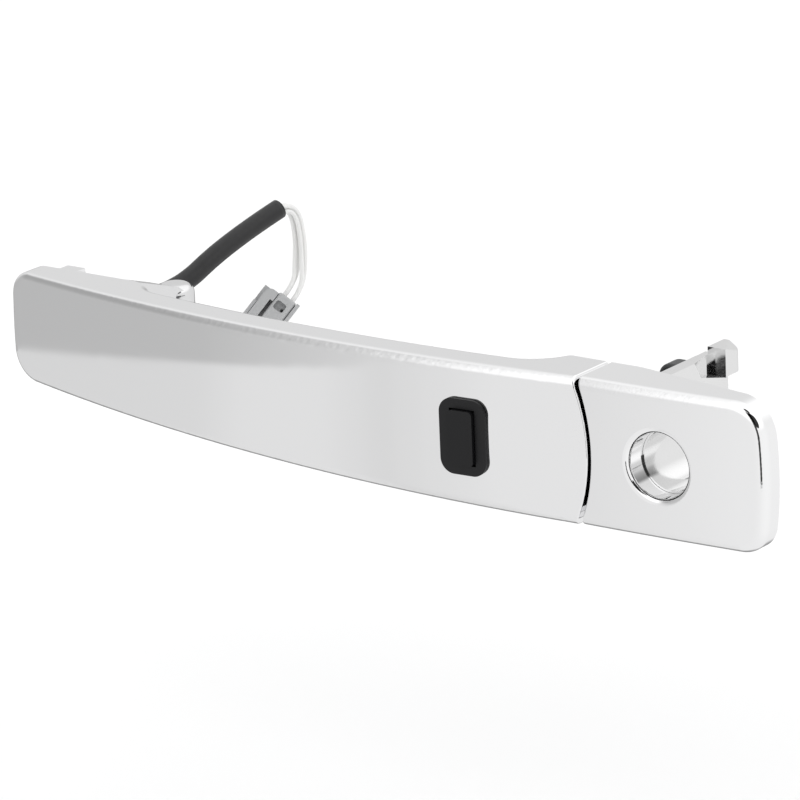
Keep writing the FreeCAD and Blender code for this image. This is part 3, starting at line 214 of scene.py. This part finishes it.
def make_cords():
    """The sheath and the four wires that hang out of it to the connector."""
    sheath, path = hollow_tube("sheath", SHEATH_ROUTE, SHEATH_RADIUS, SHEATH_RADIUS - SHEATH_WALL,
                               MOUTH_DEPTH)
    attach(sheath, "grip")
    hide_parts("harness_sheath")
    wires = []
    for name, route in zip(WIRE_NAMES, wire_routes()):
        wire = smooth_curve(name.replace("wire", "lead"), route, WIRE_RADIUS)
        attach(wire, "grip")
        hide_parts(name)
        wires.append(wire)
    return sheath, wires


sheath, wires = make_cords()


# --------------------------------------------------------------------------- materials
NOISE_DETAIL = 4.0
NOISE_RANGE = (0.3, 0.7)  # where most of the noise's values lie
STREAK_SCALE = 1.0
STREAK_STRETCH = (0.012, 0.5, 0.5)  # streaks run along X
GRAIN_BUMP = 0.35
GRAIN_GLOSS = (-0.06, 0.08)  # how far the grain moves the roughness, down and up


def new_material(name, base, rough, metallic=0.0):
    """Material with its Principled shader's plain sockets set, its node tree and that shader."""
    material = bpy.data.materials.new(name)
    material.use_nodes = True
    shader = material.node_tree.nodes["Principled BSDF"]
    shader.inputs["Base Color"].default_value = (*base, 1.0)
    shader.inputs["Roughness"].default_value = rough
    shader.inputs["Metallic"].default_value = metallic
    return material, material.node_tree, shader


def noise_level(tree, scale, stretch=(1.0, 1.0, 1.0)):
    """Noise in object space, in millimetres."""
    place = tree.nodes.new("ShaderNodeTexCoord")
    mapping = tree.nodes.new("ShaderNodeMapping")
    mapping.inputs["Scale"].default_value = [value / MM for value in stretch]
    tree.links.new(place.outputs["Object"], mapping.inputs["Vector"])
    node = tree.nodes.new("ShaderNodeTexNoise")
    node.inputs["Scale"].default_value = scale
    node.inputs["Detail"].default_value = NOISE_DETAIL
    tree.links.new(mapping.outputs["Vector"], node.inputs["Vector"])
    return node.outputs["Fac"]


def vary_roughness(tree, shader, noise, low, high):
    """Roughness that goes from low to high with the noise."""
    node = tree.nodes.new("ShaderNodeMapRange")
    start, stop = NOISE_RANGE
    node.inputs["From Min"].default_value = start
    node.inputs["From Max"].default_value = stop
    node.inputs["To Min"].default_value = low
    node.inputs["To Max"].default_value = high
    tree.links.new(noise, node.inputs["Value"])
    tree.links.new(node.outputs["Result"], shader.inputs["Roughness"])


def bump(tree, shader, noise, depth):
    """Bump of a depth in metres."""
    node = tree.nodes.new("ShaderNodeBump")
    node.inputs["Strength"].default_value = GRAIN_BUMP
    node.inputs["Distance"].default_value = depth
    tree.links.new(noise, node.inputs["Height"])
    tree.links.new(node.outputs["Normal"], shader.inputs["Normal"])


def metal(name, base, rough, streaks):
    """Plated or bare metal with faint lengthwise polishing streaks, which are rougher."""
    material, tree, shader = new_material(name, base, rough, metallic=1.0)
    noise = noise_level(tree, STREAK_SCALE, STREAK_STRETCH)
    vary_roughness(tree, shader, noise, rough, rough + streaks)
    return material


def plastic(name, base, rough, grain=0.35, depth=0.03, ior=1.5):
    """Moulded plastic with a fine grain, whose size and depth are in millimetres."""
    material, tree, shader = new_material(name, base, rough)
    shader.inputs["IOR"].default_value = ior
    noise = noise_level(tree, 1.0 / grain)
    bump(tree, shader, noise, depth * MM)
    smoother, rougher = GRAIN_GLOSS
    vary_roughness(tree, shader, noise, rough + smoother, rough + rougher)
    return material


MATERIALS = {
    "grip_chrome": metal("grip_chrome", (0.90, 0.90, 0.905), rough=0.045, streaks=0.02),
    "cap_chrome": metal("cap_chrome", (0.95, 0.95, 0.955), rough=0.02, streaks=0.02),
    "cast_base": metal("cast_base", (0.84, 0.84, 0.84), rough=0.07, streaks=0.04),
    "arm_plating": metal("arm_plating", (0.78, 0.78, 0.785), rough=0.12, streaks=0.06),
    "rear_plastic": plastic("rear_plastic", (0.035, 0.035, 0.038), rough=0.5),
    "dark_plastic": plastic("dark_plastic", (0.045, 0.046, 0.048), rough=0.42),
    "switch_black": plastic("switch_black", (0.008, 0.008, 0.009), rough=0.45, grain=0.18, ior=1.36),
    "button_black": plastic("button_black", (0.006, 0.006, 0.007), rough=0.40, grain=0.16, ior=1.36),
    "seal_rubber": plastic("seal_rubber", (0.012, 0.012, 0.012), rough=0.7),
    "board_green": plastic("board_green", (0.02, 0.12, 0.05), rough=0.35),
    "ferrite": plastic("ferrite", (0.03, 0.03, 0.03), rough=0.6),
    "copper": metal("copper", (0.80, 0.36, 0.16), rough=0.3, streaks=0.1),
    "bobbin_plastic": plastic("bobbin_plastic", (0.45, 0.42, 0.36), rough=0.5),
    "steel": metal("steel", (0.62, 0.62, 0.63), rough=0.25, streaks=0.1),
    "bush_plastic": plastic("bush_plastic", (0.55, 0.54, 0.50), rough=0.45),
    "sheath_vinyl": plastic("sheath_vinyl", (0.012, 0.012, 0.013), rough=0.38, grain=1.2, depth=0.02),
    "wire_white": plastic("wire_white", (0.82, 0.82, 0.81), rough=0.35, grain=0.8, depth=0.01),
    "connector_grey": plastic("connector_grey", (0.46, 0.465, 0.47), rough=0.42, grain=0.4),
    "terminal_tin": metal("terminal_tin", (0.72, 0.70, 0.66), rough=0.2, streaks=0.1),
}


def set_material(piece, slot_name):
    """One material on the whole piece."""
    piece.data.materials.clear()
    piece.data.materials.append(MATERIALS[slot_name])


def dress_nodes():
    """Every CAD node takes the material of its slot in the record."""
    slots = {entry["node"]: entry["material_slot"] for entry in frame["record"]["subparts"]}
    for name, node in NODES.items():
        for place in node.material_slots:
            place.material = MATERIALS[slots[name]]


dress_nodes()
set_material(sheath, "sheath_vinyl")
for wire in wires:
    set_material(wire, "wire_white")


# --------------------------------------------------------------------- floor and light
FLOOR_DROP = 0.10  # metres, as are the three below
FLOOR_FRONT = 0.10
FLOOR_REAR = 6.0
FLOOR_SIDE = 4.0
FLOOR_COLOUR = (0.93, 0.93, 0.93)
FLOOR_ROUGHNESS = 0.6

# The studio's levels are stops along one axis of a ray's direction, from -1 to 1: place and level.
# An edge is the pair of places, on such an axis, where a zone's change starts and where it is whole.
WALL_STOPS = [(-1.0, 0.51), (-0.72, 0.545), (-0.66, 0.61), (-0.58, 0.69),
              (-0.50, 0.78), (-0.42, 0.85), (0.3, 0.88), (1.0, 0.95)]
BAND_STOPS = [(-1.0, 1.40), (-0.68, 1.38), (-0.60, 1.22), (-0.54, 1.02), (-0.46, 1.0)]
CEILING_STOPS = [(-1.0, 0.70), (-0.72, 0.76), (-0.64, 0.86), (-0.56, 1.05), (-0.46, 1.38)]
REAR_STOPS = [(-1.0, 0.26), (-0.5, 0.30), (-0.15, 0.48), (0.1, 0.75), (0.45, 0.77), (0.8, 1.0)]
BAND_UP = (-0.35, 0, 1)  # the low band's edge is square to this
BAND_EDGE = (0.004, 0.020)
CEILING_EDGE = (0.30, 0.65)
REAR_EDGE = (0.05, 0.40)
REAR_SIDE_EDGE = (-0.35, 0.0)
CARD_LEVEL = 0.03
DARK_CARDS = [
    # direction; half angle of the dark middle and of the faded rim, in degrees
    ((0.22, -0.21, 0.94), 7, 10),
    ((0.58, -0.40, 0.70), 19, 21),
]
SLIT_LEVEL = 0.06
SLIT_HALF_WIDTH = math.radians(8.5)
SLIT_LOW = -0.34
SLIT_HIGH = 0.86
SLIT_SIDE_FADE = (0.8, 1.2)  # shares of the half width
SLIT_AHEAD_FADE = 0.1
SLIT_LOW_FADE = 0.04
SLIT_HIGH_FADE = 0.06
BACKDROP_LEVEL = 1.0
FILL_LEVEL = 1.2


def make_floor():
    """Pale floor below the handle, from a little way in front of it; mirrors don't see it."""
    mesh = bpy.data.meshes.new("floor")
    corners = [(-FLOOR_SIDE, -FLOOR_FRONT), (FLOOR_SIDE, -FLOOR_FRONT),
               (FLOOR_SIDE, FLOOR_REAR), (-FLOOR_SIDE, FLOOR_REAR)]
    mesh.from_pydata([(*corner, -FLOOR_DROP) for corner in corners], [], [(0, 1, 2, 3)])
    floor = bpy.data.objects.new("floor", mesh)
    bpy.context.scene.collection.objects.link(floor)
    material, _, _ = new_material("floor_pale", FLOOR_COLOUR, FLOOR_ROUGHNESS)
    mesh.materials.append(material)
    floor.visible_glossy = False


class World:
    """Studio surroundings as a function of direction."""

    def __init__(self):
        world = bpy.data.worlds.new("studio")
        world.use_nodes = True
        bpy.context.scene.world = world
        self.tree = world.node_tree
        self.tree.nodes.clear()
        self.place = self.tree.nodes.new("ShaderNodeTexCoord")
        split = self.tree.nodes.new("ShaderNodeSeparateXYZ")
        self.tree.links.new(self.place.outputs["Generated"], split.inputs["Vector"])
        self.x, self.y, self.z = split.outputs["X"], split.outputs["Y"], split.outputs["Z"]

    def along(self, direction):
        """How far a ray's direction goes along another."""
        node = self.tree.nodes.new("ShaderNodeVectorMath")
        node.operation = "DOT_PRODUCT"
        node.inputs[1].default_value = Vector(direction).normalized()
        self.tree.links.new(self.place.outputs["Generated"], node.inputs[0])
        return node.outputs["Value"]

    def ramp(self, source, stops):
        """Level along a value from -1 to 1, straight between its stops."""
        shift = self.tree.nodes.new("ShaderNodeMapRange")
        shift.inputs["From Min"].default_value = -1.0
        self.tree.links.new(source, shift.inputs["Value"])
        node = self.tree.nodes.new("ShaderNodeValToRGB")
        elements = node.color_ramp.elements
        while len(elements) < len(stops):
            elements.new(0.5)
        for element, (place, level) in zip(elements, stops):
            element.position = (place + 1) / 2
            element.color = (level, level, level, 1.0)
        self.tree.links.new(shift.outputs["Result"], node.inputs["Fac"])
        return node.outputs["Color"]

    def fade(self, source, start, stop, low=0.0, high=1.0):
        """Smooth change from low, where the source is at start, to high, where it is at stop."""
        node = self.tree.nodes.new("ShaderNodeMapRange")
        node.interpolation_type = "SMOOTHSTEP"
        for socket, value in (("From Min", start), ("From Max", stop), ("To Min", low), ("To Max", high)):
            node.inputs[socket].default_value = value
        self.tree.links.new(source, node.inputs["Value"])
        return node.outputs["Result"]

    def combine(self, operation, first, second):
        """Sum, product or other operation of two levels; a number may stand for the second."""
        node = self.tree.nodes.new("ShaderNodeMath")
        node.operation = operation
        self.tree.links.new(first, node.inputs[0])
        if isinstance(second, float):
            node.inputs[1].default_value = second
        else:
            self.tree.links.new(second, node.inputs[1])
        return node.outputs["Value"]

    def blended(self, level, where):
        """Factor of 1 outside a zone and of the level inside it."""
        above = self.combine("SUBTRACT", level, 1.0)
        return self.combine("ADD", self.combine("MULTIPLY", above, where), 1.0)

    def swapped(self, level, other, where):
        """The level outside a zone and the other level inside it."""
        change = self.combine("MULTIPLY", self.combine("SUBTRACT", other, level), where)
        return self.combine("ADD", level, change)

    def card(self, direction, inner, outer, level):
        """Factor that fades from level inside a cone round a direction to 1 outside it; in degrees."""
        return self.fade(self.along(direction), math.cos(math.radians(outer)),
                         math.cos(math.radians(inner)), 1.0, level)

    def slit(self, azimuth, half_width, low, high, level):
        """Factor for the upright opening that the camera looks through."""
        across = self.combine("ABSOLUTE", self.along((math.cos(azimuth), math.sin(azimuth), 0)), 0.0)
        ahead = self.along((math.sin(azimuth), -math.cos(azimuth), 0))
        edge = math.sin(half_width)
        near, far = SLIT_SIDE_FADE
        inside = self.fade(across, edge * near, edge * far, 1.0, 0.0)
        for part in (self.fade(ahead, 0.0, SLIT_AHEAD_FADE),
                     self.fade(self.z, low, low + SLIT_LOW_FADE),
                     self.fade(self.z, high, high + SLIT_HIGH_FADE, 1.0, 0.0)):
            inside = self.combine("MULTIPLY", inside, part)
        return self.combine("ADD", self.combine("MULTIPLY", inside, level - 1.0), 1.0)

    def finish(self, seen, backdrop, fill):
        """Backdrop for the camera's own rays, even fill for matt surfaces, the studio for mirrors."""
        path = self.tree.nodes.new("ShaderNodeLightPath")
        for ray, level in (("Is Diffuse Ray", fill), ("Is Camera Ray", backdrop)):
            mix = self.tree.nodes.new("ShaderNodeMix")
            mix.inputs["B"].default_value = level
            self.tree.links.new(path.outputs[ray], mix.inputs["Factor"])
            self.tree.links.new(seen, mix.inputs["A"])
            seen = mix.outputs["Result"]
        shine = self.tree.nodes.new("ShaderNodeBackground")
        out = self.tree.nodes.new("ShaderNodeOutputWorld")
        self.tree.links.new(seen, shine.inputs["Color"])
        self.tree.links.new(shine.outputs["Background"], out.inputs["Surface"])


def make_world():
    """Studio round the handle, grey to the left.

    It has walls, a low band, a ceiling, a rear wall, dark cards and a dark opening for the camera.
    """
    studio = World()
    level = studio.ramp(studio.x, WALL_STOPS)
    band = studio.ramp(studio.x, BAND_STOPS)
    low = studio.fade(studio.along(BAND_UP), *BAND_EDGE, 1.0, 0.0)
    level = studio.combine("MULTIPLY", level, studio.blended(band, low))
    ceiling = studio.ramp(studio.x, CEILING_STOPS)
    high = studio.fade(studio.z, *CEILING_EDGE)
    level = studio.combine("MULTIPLY", level, studio.blended(ceiling, high))
    rear = studio.ramp(studio.z, REAR_STOPS)
    behind = studio.combine("MULTIPLY", studio.fade(studio.y, *REAR_EDGE),
                            studio.fade(studio.x, *REAR_SIDE_EDGE, 1.0, 0.0))
    level = studio.swapped(level, rear, behind)
    for direction, inner, outer in DARK_CARDS:
        level = studio.combine("MULTIPLY", level, studio.card(direction, inner, outer, CARD_LEVEL))
    opening = studio.slit(CAMERA_AZIMUTH, SLIT_HALF_WIDTH, SLIT_LOW, SLIT_HIGH, SLIT_LEVEL)
    level = studio.combine("MULTIPLY", level, opening)
    studio.finish(level, BACKDROP_LEVEL, FILL_LEVEL)


bpy.context.scene.view_settings.view_transform = "Standard"
make_floor()
make_world()

bpy.context.view_layer.update()
